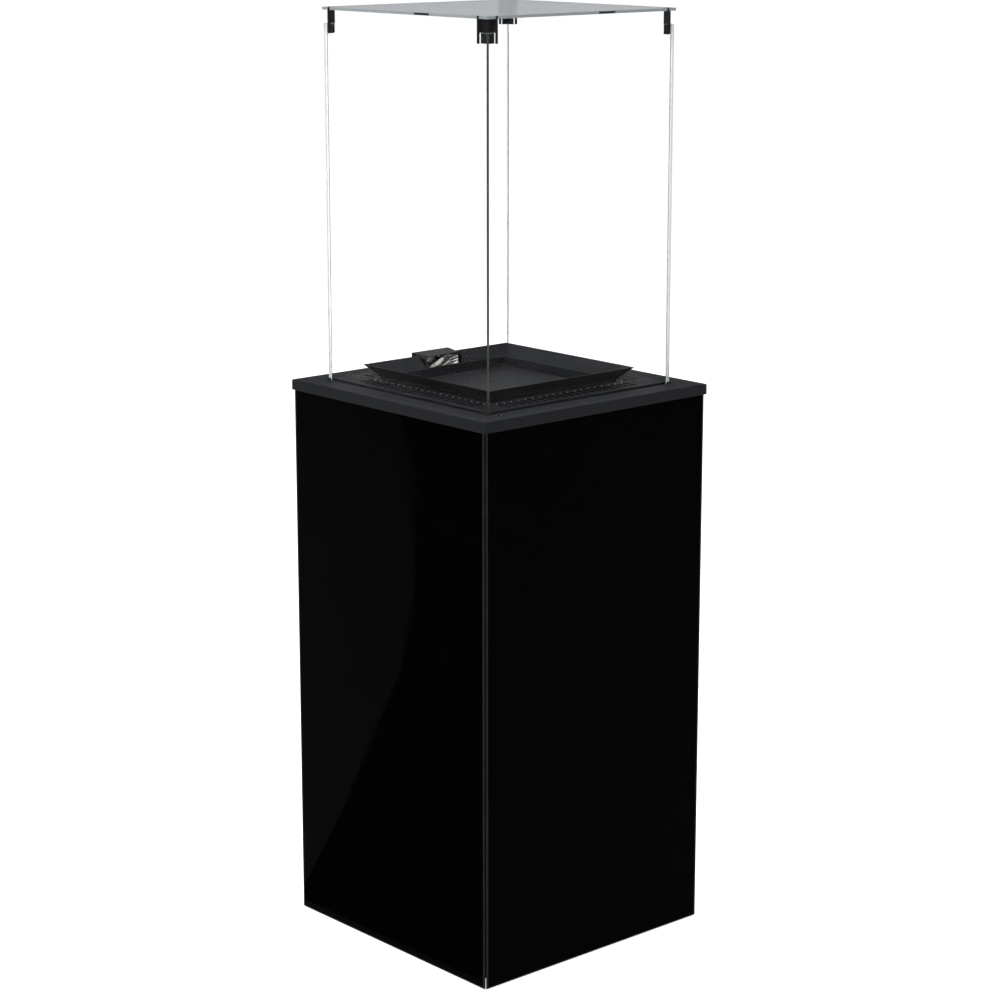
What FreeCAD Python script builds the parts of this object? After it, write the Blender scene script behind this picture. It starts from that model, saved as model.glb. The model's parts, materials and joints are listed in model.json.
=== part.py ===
"""Square column gas patio heater with a glass flame chamber.

Frame: millimetres, +Z up, origin on the ground under the middle of the cabinet.
-Y is the side with the receiver eye, +Y is the back with the door.
"""
import FreeCAD, Part
import math
import os
import re

V = FreeCAD.Vector
doc = FreeCAD.newDocument("PatioHeater")

# ---------------------------------------------------------------- driving dimensions
DIMS = dict(
    cap_width=500, cap_top=959, cap_skirt=18, cap_sheet=2, skirt_sheet=1.5, cap_bend=2.5,
    eye_x=-195, eye_y=-221, eye_radius=3.4,
    ground_gap=2, panel_width=496, panel_notch=3, panel_border=3, panel_depth=6, panel_edge=2,
    panel_lip=2, panel_sheet=1.2, panel_wall=2, wall_glass=3, glass_gap=0.2, panel_tuck=950, door_top=939,
    stud_radius=2.4, stud_hole=2.8, stud_end=230.5, nut_radius=4.6, nut_height=4,
    frame_width=482, frame_sheet=2, base_height=18, pan_rim=12, frame_head=27,
    post_leg=30, deck_seat=384, vent_radius=16, vent_ring=95,
    foot_radius=20, foot_inset=190, foot_recess=7, screw_radius=3, ring_radius=155, ring_height=25,
    deck_width=400, deck_top=961.5, deck_sheet=2, deck_hole=284.4, slot_count=19, slot_row=282,
    slot_inner=155, slot_outer=188, slot_width=6,
    slit_width=412,
    rim_width=326, rim_top=986, flare_foot=965.5, tray_width=283, tray_floor=949,
    tray_sheet=1.5, port_radius=1, port_ring=90, port_ring_inner=48,
    hood_half=41.5, hood_back=180, hood_top=989.5, hood_front_top=987.5,
    hood_shoulder=981, hood_lip=34, hood_sheet=1.5, pilot_hole_back=176, pilot_hole_half=36,
    burner_width=220, burner_depth=24, feed_height=937, venturi_radius=10, venturi_length=44,
    rail_offset=125, rail_half=8, rail_depth=16,
    pilot_lean=62, pilot_burner_y=160, pilot_probe_y=149, bracket_sheet=1.5,
    pane_sheet=4, chamber_width=410, pane_top=1560, shoe_size=9, shoe_proud=2.2,
    lid_width=414, lid_bottom=1581.5, lid_sheet=5, lid_arris=0.4,
    clip_leg=14.5, clip_foot=1543.5, clip_sheet=2, clip_reach=209.5, fit_gap=0.3,
    rail_top=928, rail_foot=840, rail_front=206, valve_height=884, valve_half=34, valve_top=908,
    stem_radius=4, inlet_x=-22, nipple_foot=820, nipple_radius=4.5, pilot_outlet_x=24,
    hinge_axis=247.3, knuckle_radius=2, pin_radius=1.1, pin_length=80, hinge_foot=90, hinge_pitch=350,
    pull_x=-185, pull_z=560, pull_radius=15, pull_depth=14, pull_sheet=1.5,
)
sheet = doc.addObject("Spreadsheet::Sheet", "Dims")
for row, (alias, value) in enumerate(DIMS.items(), start=1):
    sheet.set(f"A{row}", alias.replace("_", " "))
    sheet.set(f"B{row}", str(value))
    sheet.setAlias(f"B{row}", alias)
doc.recompute()


def formula(text):
    """An expression in which each driving dimension's name points at its sheet cell."""
    def cell(word):
        return "Dims." + word.group(0) if word.group(0) in DIMS else word.group(0)
    return re.sub(r"[a-z_]+", cell, str(text))


def size(text):
    """The value of a formula now, for shapes that are computed point by point."""
    return float(doc.Dims.evalExpression(formula(text)))


def bind(item, **expressions):
    for name, text in expressions.items():
        item.setExpression(name, formula(text))


def place(item, x=0, y=0, z=0):
    for axis, text in zip("xyz", (x, y, z)):
        item.setExpression(".Placement.Base." + axis, formula(text))
    return item


# ---------------------------------------------------------------- building blocks
TURN = {"X": FreeCAD.Rotation(V(0, 1, 0), 90),
        "Y": FreeCAD.Rotation(V(1, 0, 0), -90),
        "Z": FreeCAD.Rotation()}
NODES = {}


def node(name, item):
    """Names a finished sub-part: its label is its file's name."""
    item.Label = name
    NODES[name] = item
    return item


def block(low, high):
    """A box between two corners, each given as three formulas."""
    item = doc.addObject("Part::Box", "Block")
    spans = [f"({b})-({a})" for a, b in zip(low, high)]
    bind(item, Length=spans[0], Width=spans[1], Height=spans[2])
    return place(item, *low)


def square(half, low, high):
    """A square block centred on the column's axis."""
    return block((f"-({half})", f"-({half})", low), (half, half, high))


def rod(radius, length, x, y, z, axis="Z"):
    """A cylinder that starts at a point and runs along +X, +Y or +Z."""
    item = doc.addObject("Part::Cylinder", "Rod")
    bind(item, Radius=radius, Height=length)
    item.Placement.Rotation = TURN[axis]
    return place(item, x, y, z)


def cone(radius_a, radius_b, length, x, y, z, axis="Z"):
    item = doc.addObject("Part::Cone", "Cone")
    bind(item, Radius1=radius_a, Radius2=radius_b, Height=length)
    item.Placement.Rotation = TURN[axis]
    return place(item, x, y, z)


def hexagon(radius, length, x, y, z, axis="Z"):
    item = doc.addObject("Part::Prism", "Hexagon")
    item.Polygon = 6
    bind(item, Circumradius=radius, Height=length)
    item.Placement.Rotation = TURN[axis]
    return place(item, x, y, z)


def frustum(half_low, half_high, low, high):
    """A square frustum about the column's axis, from its lower to its upper square."""
    item = doc.addObject("Part::Wedge", "Frustum")
    bind(item, Xmin=f"-({half_low})", Zmin=f"-({half_low})", Xmax=half_low, Zmax=half_low,
         X2min=f"-({half_high})", Z2min=f"-({half_high})", X2max=half_high, Z2max=half_high,
         Ymin=0, Ymax=f"({high})-({low})")
    item.Placement.Rotation = FreeCAD.Rotation(V(1, 0, 0), 90)
    return place(item, 0, 0, low)


def fuse(parts):
    item = doc.addObject("Part::MultiFuse", "Joined")
    item.Shapes = parts
    item.Refine = True
    return item


def group(parts):
    """Separate solids that share one node."""
    item = doc.addObject("Part::Compound", "Group")
    item.Links = parts
    return item


def cut(base, tools):
    item = doc.addObject("Part::Cut", "Shaped")
    item.Base = base
    item.Tool = tools[0] if len(tools) == 1 else fuse(tools)
    return item


def computed(shape):
    item = doc.addObject("Part::Feature", "Computed")
    item.Shape = shape
    return item


def body_part(name):
    body = doc.addObject("PartDesign::Body", "Body")
    return node(name, body)


def datum(body, role):
    return next(item for item in body.Origin.OriginFeatures if item.Role == role)


def sketch(body, name, height, outlines):
    """A sketch at a height over the body's XY plane; each outline is a list of corners."""
    item = body.newObject("Sketcher::SketchObject", name)
    item.AttachmentSupport = (datum(body, "XY_Plane"), [""])
    item.MapMode = "FlatFace"
    item.setExpression(".AttachmentOffset.Base.z", formula(height))
    for corners in outlines:
        points = [V(size(x), size(y), 0) for x, y in corners]
        for start, end in zip(points, points[1:] + points[:1]):
            item.addGeometry(Part.LineSegment(start, end))
    return item


def square_outline(half):
    return [(f"-({half})", f"-({half})"), (half, f"-({half})"), (half, half), (f"-({half})", half)]


def pad(body, profile, length):
    item = body.newObject("PartDesign::Pad", "Pad")
    item.Profile = profile
    bind(item, Length=length)
    doc.recompute()
    return item


def pocket(body, profile, depth):
    """Cuts upwards from the sketch, and checks that it really removes material."""
    before = body.Shape.Volume
    item = body.newObject("PartDesign::Pocket", "Pocket")
    item.Profile = profile
    item.Reversed = True
    bind(item, Length=depth)
    doc.recompute()
    assert body.Shape.Volume < before - 0.01, body.Label + ": a pocket cut nothing"
    return item


def outline_face(points):
    return Part.Face(Part.makePolygon(points + points[:1]))


def prism(points, direction):
    return outline_face(points).extrude(direction)


def faceted(corners, faces):
    """A closed solid from a list of corners and the faces that join them."""
    shell = Part.Shell([outline_face([corners[i] for i in face]) for face in faces])
    solid = Part.Solid(shell)
    if solid.Volume < 0:
        solid.reverse()
    return solid


def pipe(points, radius, bend):
    """A round tube along straight runs joined by tangent arcs of one bend radius."""
    edges, start = [], points[0]
    for corner, after in zip(points[1:-1], points[2:]):
        back = (start - corner).normalize()
        ahead = (after - corner).normalize()
        half = back.getAngle(ahead) / 2
        reach = bend / math.tan(half)
        middle = (back + ahead).normalize() * (bend / math.sin(half) - bend)
        edges.append(Part.LineSegment(start, corner + back * reach).toShape())
        arc = Part.Arc(corner + back * reach, corner + middle, corner + ahead * reach)
        edges.append(arc.toShape())
        start = corner + ahead * reach
    edges.append(Part.LineSegment(start, points[-1]).toShape())
    path = Part.Wire(edges)
    ring = Part.Wire(Part.Circle(points[0], points[1] - points[0], radius).toShape())
    tube = path.makePipeShell([ring], True, True)
    assert abs(tube.Volume - math.pi * radius ** 2 * path.Length) < 0.02 * tube.Volume
    return tube


FRAME_HALF = "frame_width/2"
INSIDE = "frame_width/2-frame_sheet"
PAN_TOP = "base_height+frame_sheet"
SIDES = {"left": 270, "front": 0, "right": 90}
CORNERS = {"front_left": (-1, -1), "front_right": (1, -1), "rear_right": (1, 1), "rear_left": (-1, 1)}
STUD_HEIGHTS = (120, 480, 800)
MAGNET_HEIGHTS = (90, 800)


def ordered(inner, outer, sign):
    """Two formulas on one side of the column, the lower value first."""
    return (inner, outer) if sign > 0 else (outer, inner)



# ---------------------------------------------------------------- base
def build_base():
    """Floor pan with vent holes, its rubber feet and the ring that locates the bottle."""
    vent_count = 8
    below = "base_height-1"
    vents = []
    for i in range(vent_count):
        angle = 360 / vent_count * (i + 0.5)
        vents.append(rod("vent_radius", "frame_sheet+2",
                         f"vent_ring*cos({angle})", f"vent_ring*sin({angle})", below))
    shell = square(FRAME_HALF, "base_height", "base_height+pan_rim")
    hollow = square(INSIDE, PAN_TOP, "base_height+pan_rim+1")
    holes = [rod("screw_radius+0.2", "frame_sheet+2", f"{x}*foot_inset", f"{y}*foot_inset", below)
             for x, y in CORNERS.values()]
    node("floor_pan", cut(shell, [hollow] + vents + holes))

    feet, screws = [], []
    recess = 6
    for x, y in CORNERS.values():
        centre = (f"{x}*foot_inset", f"{y}*foot_inset")
        puck = cone("foot_radius-2", "foot_radius", "base_height", *centre, 0)
        feet.append(cut(puck, [rod("screw_radius+0.2", "base_height+2", *centre, -1),
                               rod("foot_recess", recess + 1, *centre, -1)]))
        shank = rod("screw_radius", f"{PAN_TOP}", *centre, recess)
        head = rod("screw_radius+2.5", 3.5, *centre, recess - 3.5)
        nut = hexagon("screw_radius+2.8", 5, *centre, PAN_TOP)
        screws.append(fuse([shank, head, nut]))
    node("rubber_feet", group(feet))
    node("foot_screws", group(screws))

    ring = cut(rod("ring_radius+frame_sheet", "ring_height", 0, 0, PAN_TOP),
               [rod("ring_radius", "ring_height+2", 0, 0, f"{PAN_TOP}-1")])
    node("bottle_ring", ring)


# ---------------------------------------------------------------- frame
def build_frame():
    """Four angle posts and the head frame that carries the cap, deck and panes."""
    for name, (x, y) in CORNERS.items():
        legs = []
        for reach_x, reach_y in (("post_leg", "frame_sheet"), ("frame_sheet", "post_leg")):
            low_x, high_x = ordered(f"{x}*({INSIDE}-{reach_x})", f"{x}*({INSIDE})", x)
            low_y, high_y = ordered(f"{y}*({INSIDE}-{reach_y})", f"{y}*({INSIDE})", y)
            legs.append(block((low_x, low_y, PAN_TOP), (high_x, high_y, "cap_top-cap_sheet-frame_sheet")))
        holes = []
        for height in STUD_HEIGHTS:
            holes.append(rod("stud_hole", "frame_sheet*4", f"{x}*({INSIDE})-frame_sheet*2",
                             f"{y}*({INSIDE}-post_leg/2)", height, "X"))
            if y < 0:
                holes.append(rod("stud_hole", "frame_sheet*4", f"{x}*({INSIDE}-post_leg/2)",
                                 f"{y}*({INSIDE})-frame_sheet*2", height, "Y"))
        node("post_" + name, cut(fuse(legs), holes))

    head_top = "cap_top-cap_sheet"
    head = square(FRAME_HALF, f"{head_top}-frame_head", head_top)
    node("head_frame", cut(head, [
        square(INSIDE, f"{head_top}-frame_head-1", f"{head_top}-frame_sheet"),
        square("deck_seat/2", f"{head_top}-frame_sheet-1", f"{head_top}+1")]))


# ---------------------------------------------------------------- wall panels
def panel_tray(top):
    """Steel tray of one wall panel, drawn as the front one: glass seat, straight edges, mitred back."""
    half, face = "(panel_width/2-panel_notch)", "-panel_width/2"
    back_half = f"({half}-panel_depth+panel_edge)"
    edge, back = f"{face}+panel_edge", f"{face}+panel_depth"
    body = doc.addObject("PartDesign::Body", "Body")
    rim = [(f"-{half}", face), (half, face), (half, edge),
           (back_half, back), (f"-{back_half}", back), (f"-{half}", edge)]
    pad(body, sketch(body, "Outline", "ground_gap", [rim]), f"{top}-ground_gap")
    bed_half, seat = f"({half}-panel_border)", f"{face}+wall_glass"
    bed = [(f"-{bed_half}", f"{face}-1"), (bed_half, f"{face}-1"), (bed_half, seat), (f"-{bed_half}", seat)]
    pocket(body, sketch(body, "GlassSeat", "ground_gap+panel_lip", [bed]), f"{top}-ground_gap")
    hollow_half, skin = f"({back_half}-panel_wall)", f"{seat}+panel_sheet"
    hollow = [(f"-{hollow_half}", skin), (hollow_half, skin), (hollow_half, f"{back}+1"),
              (f"-{hollow_half}", f"{back}+1")]
    pocket(body, sketch(body, "BackHollow", "ground_gap+panel_lip", [hollow]), f"{top}-ground_gap")
    return body


def panel_glass(top):
    """Black glass sheet that fills the seat of a panel tray."""
    half = "(panel_width/2-panel_notch-panel_border-glass_gap)"
    return block((f"-{half}", "-panel_width/2", "ground_gap+panel_lip"),
                 (half, "-panel_width/2+wall_glass", top))


def build_panels():
    """Three fixed panels: a black glass sheet in a steel tray, held by weld studs and nuts."""
    nuts = []
    post_inner = f"-({INSIDE}-frame_sheet)"
    for name, angle in SIDES.items():
        turn = FreeCAD.Rotation(V(0, 0, 1), angle)
        studs = []
        for side in (-1, 1):
            stud_x = f"{side}*({INSIDE}-post_leg/2)"
            for height in STUD_HEIGHTS:
                skin = "-panel_width/2+wall_glass+panel_sheet"
                studs.append(rod("stud_radius", f"-stud_end-({skin}-0.5)", stud_x, f"{skin}-0.5",
                                 height, "Y"))
                nut = hexagon("nut_radius", "nut_height", stud_x, post_inner, height, "Y")
                thread = rod("stud_radius+0.02", "nut_height+2", stud_x, f"{post_inner}-1", height, "Y")
                turned = group([cut(nut, [thread])])
                turned.Placement.Rotation = turn
                nuts.append(turned)
        node(f"panel_{name}_tray", fuse([panel_tray("panel_tuck")] + studs)).Placement.Rotation = turn
        node(f"panel_{name}_glass", group([panel_glass("panel_tuck")])).Placement.Rotation = turn
    node("panel_nuts", group(nuts))


# ---------------------------------------------------------------- door
def build_door():
    """Rear panel as a door: finger cup, three welded hinges and two magnets that hold it shut."""
    turn = FreeCAD.Rotation(V(0, 0, 1), 180)
    face, inner_face = "panel_width/2", "panel_width/2-panel_depth"
    for name, sheet_part in (("tray", panel_tray("door_top")), ("glass", panel_glass("door_top"))):
        cup_hole = rod("pull_radius+0.3", "panel_depth+4", "-pull_x", "-panel_width/2-2", "pull_z", "Y")
        node("door_" + name, cut(sheet_part, [cup_hole])).Placement.Rotation = turn

    bottom = f"{face}-pull_depth"
    cup = fuse([rod("pull_radius", "pull_depth", "pull_x", bottom, "pull_z", "Y"),
                rod("pull_radius+3", 1.2, "pull_x", face, "pull_z", "Y")])
    room = rod("pull_radius-pull_sheet", "pull_depth-2*pull_sheet", "pull_x", f"{bottom}+pull_sheet",
               "pull_z", "Y")
    mouth = rod("pull_radius-pull_sheet-2", "pull_depth+2", "pull_x", f"{bottom}+pull_sheet", "pull_z", "Y")
    node("door_pull", cut(cup, [room, mouth]))

    strikes, magnets = [], []
    near, far = -188, -226
    for height in MAGNET_HEIGHTS:
        strikes.append(block((far + 2, f"{inner_face}-1.2", height - 14),
                             (near - 2, f"{face}-wall_glass-panel_sheet", height + 14)))
        low, high = height - 9, height + 9
        magnets.append(fuse([
            block((far, f"{INSIDE}-18", low), (near, f"{INSIDE}-frame_sheet", high)),
            block((f"-({INSIDE}-post_leg-1)", f"{INSIDE}-18", low), (near, f"{INSIDE}+1.4", high))]))
    node("door_strikes", group(strikes))
    node("magnet_catches", group(magnets))

    fixed, moving, pins = [], [], []
    for i in range(3):
        low = f"hinge_foot+{i}*hinge_pitch"
        fixed.append(knuckle(low, 24.7, False))
        moving.append(knuckle(f"{low}+25", 30, True))
        fixed.append(knuckle(f"{low}+55.3", 24.7, False))
        pins.append(rod("pin_radius", "pin_length", "hinge_axis", "hinge_axis", low))
    node("hinge_frame_knuckles", group(fixed))
    node("hinge_door_knuckles", group(moving))
    node("hinge_pins", group(pins))


def knuckle(low, length, moves):
    """A hinge barrel and the weld block that joins it to the edge of the door or of the right panel."""
    across = ("panel_width/2-panel_notch", "hinge_axis-0.8")
    along = ("panel_width/2-panel_edge", "panel_width/2")
    (x0, x1), (y0, y1) = (across, along) if moves else (along, across)
    weld = block((x0, y0, low), (x1, y1, f"{low}+{length}"))
    barrel = rod("knuckle_radius", length, "hinge_axis", "hinge_axis", low)
    clearance = 0.06 if moves else 0
    bore = rod(f"pin_radius+{clearance}", length + 2, "hinge_axis", "hinge_axis", f"{low}-1")
    return cut(fuse([barrel, weld]), [bore])


# ---------------------------------------------------------------- cap and deck
def upper_edges(body, height):
    """The names of the edges that lie in a body's top face."""
    return [f"Edge{i}" for i, edge in enumerate(body.Shape.Edges, start=1)
            if min(v.Z for v in edge.Vertexes) > size(height) - 0.1]


def build_cap():
    """Folded cap with the square opening that the panes stand in, and the receiver eye."""
    body = body_part("cap_plate")
    low = "cap_top-cap_skirt"
    plate = pad(body, sketch(body, "Outline", low, [square_outline("cap_width/2")]), "cap_skirt")
    rim = upper_edges(body, "cap_top")
    bend = body.newObject("PartDesign::Fillet", "Bend")
    bend.Base = (plate, rim)
    bind(bend, Radius="cap_bend")
    doc.recompute()
    inside = sketch(body, "Inside", low, [square_outline("cap_width/2-skirt_sheet")])
    pocket(body, inside, "cap_skirt-cap_sheet")
    pocket(body, sketch(body, "Opening", low, [square_outline("slit_width/2")]), "cap_skirt+1")
    eye = sketch(body, "EyeHole", low, [])
    eye.addGeometry(Part.Circle(V(size("eye_x"), size("eye_y"), 0), V(0, 0, 1), size("eye_radius") + 0.1))
    pocket(body, eye, "cap_skirt+1")
    node("eye_lens", rod("eye_radius", "cap_sheet-0.4", "eye_x", "eye_y", "cap_top-cap_sheet"))


def build_deck():
    """Raised deck inside the panes, with a row of air slots along each side of the tray."""
    body = body_part("deck_plate")
    seat = "cap_top-cap_sheet"
    height = f"deck_top-({seat})"
    plate = pad(body, sketch(body, "Outline", seat, [square_outline("deck_width/2")]), height)
    rim = upper_edges(body, "deck_top")
    bend = body.newObject("PartDesign::Chamfer", "RimBend")
    bend.Base = (plate, rim)
    bend.Size = 0.8
    doc.recompute()
    pocket(body, sketch(body, "Inside", seat, [square_outline("deck_width/2-deck_sheet")]),
           f"{height}-deck_sheet")
    pocket(body, sketch(body, "TrayHole", seat, [square_outline("deck_hole/2")]), f"{height}+1")
    near, far = "-slot_row/2-slot_width/2", "-slot_row/2+slot_width/2"
    slot = [("-slot_outer", near), ("-slot_inner", near), ("-slot_inner", far), ("-slot_outer", far)]
    first = pocket(body, sketch(body, "Slot", seat, [slot]), f"{height}+1")
    rows = body.newObject("PartDesign::MultiTransform", "SlotRows")
    rows.Originals = [first]
    along = body.newObject("PartDesign::LinearPattern", "Along")
    along.Direction = (datum(body, "Y_Axis"), [""])
    bind(along, Length="slot_row", Occurrences="slot_count")
    around = body.newObject("PartDesign::PolarPattern", "Around")
    around.Axis = (datum(body, "Z_Axis"), [""])
    around.Angle, around.Occurrences = 360, 4
    rows.Transformations = [along, around]
    body.Tip = rows
    doc.recompute()
    gap_front = "deck_hole/2-1"
    gap = [("-pilot_hole_half", gap_front), ("pilot_hole_half", gap_front),
           ("pilot_hole_half", "pilot_hole_back"), ("-pilot_hole_half", "pilot_hole_back")]
    pocket(body, sketch(body, "PilotHole", seat, [gap]), f"{height}+1")


# ---------------------------------------------------------------- burner
def build_tray():
    """Square burner tray with a flared rim, open at the back where the pilot hood stands."""
    wall, lip, knee = "tray_width/2", "rim_width/2", "flare_foot+0.6"
    outer = fuse([square(wall, "tray_floor", "flare_foot"), frustum(wall, lip, "flare_foot", "rim_top")])
    inner = fuse([square(f"{wall}-tray_sheet", "tray_floor+tray_sheet", knee),
                  frustum(f"{wall}-tray_sheet", f"{lip}-1.414*tray_sheet+0.1", knee, "rim_top+0.1")])
    notch = block(("-hood_half-0.2", f"{wall}-0.01", "flare_foot"),
                  ("hood_half+0.2", f"{lip}+2", "rim_top+2"))
    ports = []
    for count, ring in ((36, "port_ring"), (18, "port_ring_inner")):
        for i in range(count):
            angle = 360 / count * i
            ports.append(rod("port_radius", "tray_sheet+2", f"({ring})*cos({angle})",
                             f"({ring})*sin({angle})", "tray_floor-1"))
    node("burner_tray", cut(outer, [inner, notch] + ports))

    rails = []
    for side in (-1, 1):
        low, high = f"{side}*rail_offset-rail_half", f"{side}*rail_offset+rail_half"
        bar = block((low, f"-({INSIDE})", "tray_floor-rail_depth"), (high, INSIDE, "tray_floor"))
        channel = block((f"{low}+tray_sheet", f"-({INSIDE})-1", "tray_floor-rail_depth-1"),
                        (f"{high}-tray_sheet", f"{INSIDE}+1", "tray_floor-tray_sheet"))
        rails.append(cut(bar, [channel]))
    node("tray_rails", group(rails))


def build_burner():
    """Gas box under the tray, the tube that feeds it and the jet in front of the tube."""
    half, low = "burner_width/2", "tray_floor-burner_depth"
    box = square(half, low, "tray_floor")
    hollow = square(f"{half}-tray_sheet", f"{low}+tray_sheet", "tray_floor+1")
    feed = rod("venturi_radius", "tray_sheet+2", 0, f"{half}-tray_sheet-1", "feed_height", "Y")
    node("burner_box", cut(box, [hollow, feed]))

    flare = f"{half}-tray_sheet+venturi_length"
    tube = fuse([rod("venturi_radius-0.05", "venturi_length", 0, f"{half}-tray_sheet", "feed_height", "Y"),
                 cone("venturi_radius-0.05", "venturi_radius+3", 8, 0, flare, "feed_height", "Y")])
    bore = fuse([rod("venturi_radius-1.5", "venturi_length+2", 0, f"{half}-tray_sheet-1",
                     "feed_height", "Y"),
                 cone("venturi_radius-1.5", "venturi_radius+1.6", 8.1, 0, flare, "feed_height", "Y")])
    window = block(("-venturi_radius-6", f"{half}+20", "feed_height-4"),
                   ("venturi_radius+6", f"{half}+34", "feed_height+4"))
    node("venturi", cut(tube, [bore, window]))
    node("injector", fuse([rod(4, 4, 0, f"{half}+52", "feed_height", "Y"),
                           hexagon(7, 12, 0, f"{half}+56", "feed_height", "Y")]))


def hood_shape(offset, front, lift):
    """The hood's outline solid, drawn in by a sheet thickness for its inside."""
    half, lip = size("hood_half") - offset, size("hood_lip") - 0.6 * offset
    back = size("hood_back") - offset
    low = size("deck_top") - lift
    top_back, top_front = size("hood_top") - offset, size("hood_front_top") - offset
    shoulder = size("hood_shoulder") - 0.4 * offset
    corners = [V(-half, front, low), V(-half, front, shoulder), V(-lip, front, top_front),
               V(lip, front, top_front), V(half, front, shoulder), V(half, front, low),
               V(-half, back, low), V(-half, back, top_back), V(half, back, top_back), V(half, back, low)]
    faces = [[0, 1, 2, 3, 4, 5], [6, 7, 8, 9], [0, 1, 7, 6], [5, 4, 8, 9], [1, 2, 7], [3, 4, 8],
             [2, 3, 8], [2, 8, 7], [0, 5, 9, 6]]
    return faceted(corners, faces)


def build_pilot():
    """Hood over the pilot group: a leaning plate that holds the burner, electrode and thermocouple."""
    front = size("tray_width/2") + 0.05
    hood = hood_shape(0, front, 0).cut(hood_shape(size("hood_sheet"), front - 3, 3))
    node("pilot_hood", computed(hood))

    lean = FreeCAD.Rotation(V(0, 1, 0), size("pilot_lean"))
    centre = V(-4, 0, size("cap_top") + 10)
    burner_y, probe_y = size("pilot_burner_y"), size("pilot_probe_y")
    spark_offset, sensor_offset = -5, 7
    plate_low, sheet_thickness = -14, size("bracket_sheet")

    def leaning(radius, start, end, y, offset, tip_radius=None):
        """A round length between two stations of the leaning axis, tapered if it has a tip radius."""
        if tip_radius is None:
            shape = Part.makeCylinder(radius, end - start)
        else:
            shape = Part.makeCone(radius, tip_radius, end - start)
        shape.Placement = FreeCAD.Placement(centre + V(0, y, 0) + lean.multVec(V(offset, 0, start)), lean)
        return shape

    bar_low = -26
    foot = centre + V(0, burner_y, 0) + lean.multVec(V(0, 0, bar_low))
    stem_length = 12
    stem = Part.makeCylinder(3, stem_length, foot - V(0, 0, stem_length))
    burner = leaning(4.5, bar_low, 14, burner_y, 0).fuse([leaning(4.5, 14, 20, burner_y, 0, 6.5), stem])
    node("pilot_burner", computed(burner.cut(leaning(3.2, 0, 21, burner_y, 0))))

    insulator = leaning(3, -28, 10, probe_y, spark_offset)
    collar = leaning(4.2, plate_low - 3, plate_low - 0.02, probe_y, spark_offset)
    node("electrode_insulator", computed(insulator.fuse(collar)))
    node("electrode_tip", computed(leaning(0.9, 10, 22, probe_y, spark_offset)))
    sensor = leaning(1.6, -28, 22, probe_y, sensor_offset)
    gland = leaning(3, plate_low - 6, plate_low - 0.02, probe_y, sensor_offset)
    node("thermocouple", computed(sensor.fuse(gland)))

    plate = Part.makeBox(24, 26, sheet_thickness)
    plate.Placement = FreeCAD.Placement(centre + V(0, 143, 0) + lean.multVec(V(-12, 0, plate_low)), lean)
    under_deck = size("deck_top-deck_sheet") - sheet_thickness
    tab = Part.makeBox(17, 22, sheet_thickness, V(-22, 166, under_deck))
    reach = (plate_low - 1, plate_low + sheet_thickness + 1)
    holes = [leaning(4.55, *reach, burner_y, 0), leaning(3.05, *reach, probe_y, spark_offset),
             leaning(1.65, *reach, probe_y, sensor_offset)]
    node("pilot_bracket", computed(plate.fuse(tab).cut(holes)))
    return foot - V(0, 0, stem_length)


# ---------------------------------------------------------------- gas and control parts
def build_controls(pilot_inlet):
    """Control rail behind the door with the gas valve, its knob, hose nipple and tubes."""
    face, back = "rail_front", "rail_front-frame_sheet"
    side = f"({INSIDE}-frame_sheet)"
    rail = [block((f"-{side}", back, "rail_foot"), (side, face, "rail_top"))]
    for sign in (-1, 1):
        low, high = ordered(f"{sign}*({side}-frame_sheet)", f"{sign}*{side}", sign)
        rail.append(block((low, face, "rail_foot"), (high, f"{INSIDE}-4", "rail_top")))
    shaft_hole = rod("stem_radius+0.5", "frame_sheet+2", 0, f"{back}-1", "valve_height", "Y")
    node("control_rail", cut(fuse(rail), [shaft_hole]))

    bearing = 8
    outlet_y, pilot_y, inlet_y = f"{back}-12", f"{back}-14", f"{back}-24"
    case = block(("-valve_half", f"{back}-48", "valve_height-32"), ("valve_half", back, "valve_top"))
    fittings = [hexagon(8, 10, "inlet_x", outlet_y, "valve_top"),
                hexagon(5.5, 8, "pilot_outlet_x", pilot_y, "valve_top"),
                hexagon(9, 8, "inlet_x", inlet_y, "valve_height-40"),
                rod(14, 6, 8, f"{back}-28", "valve_top")]
    shaft_bore = rod("stem_radius+0.05", bearing + 1, 0, f"{back}-{bearing}", "valve_height", "Y")
    node("gas_valve", cut(fuse([case] + fittings), [shaft_bore]))

    stem = rod("stem_radius", "frame_sheet+12", 0, f"{back}-{bearing}+0.3", "valve_height", "Y")
    dial = cone(17, 15, 16, 0, f"{face}+4", "valve_height", "Y")
    grip = block((-3, f"{face}+20", "valve_height-14"), (3, f"{face}+25", "valve_height+14"))
    node("valve_knob", fuse([stem, dial, grip]))

    nut_low = "valve_height-45"
    nipple = fuse([rod("nipple_radius", f"{nut_low}+5-nipple_foot", "inlet_x", inlet_y, "nipple_foot"),
                   hexagon(8.5, 5, "inlet_x", inlet_y, nut_low)])
    node("hose_nipple", cut(nipple, [rod("nipple_radius-2", 20, "inlet_x", inlet_y, "nipple_foot-1")]))

    feed_z, top = size("feed_height"), size("valve_top")
    jet_y = size("burner_width/2") + 68
    outlet = V(size("inlet_x"), size(outlet_y), top + 10)
    supply = [outlet, V(outlet.x, outlet.y, feed_z), V(0, outlet.y, feed_z), V(0, jet_y, feed_z)]
    node("burner_pipe", computed(pipe(supply, 4, 7)))
    start = V(size("pilot_outlet_x"), size(pilot_y), top + 8)
    level = top + 18
    pilot = [start, V(start.x, start.y, level), V(pilot_inlet.x, pilot_inlet.y, level), pilot_inlet]
    node("pilot_pipe", computed(pipe(pilot, 2, 5)))


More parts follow.
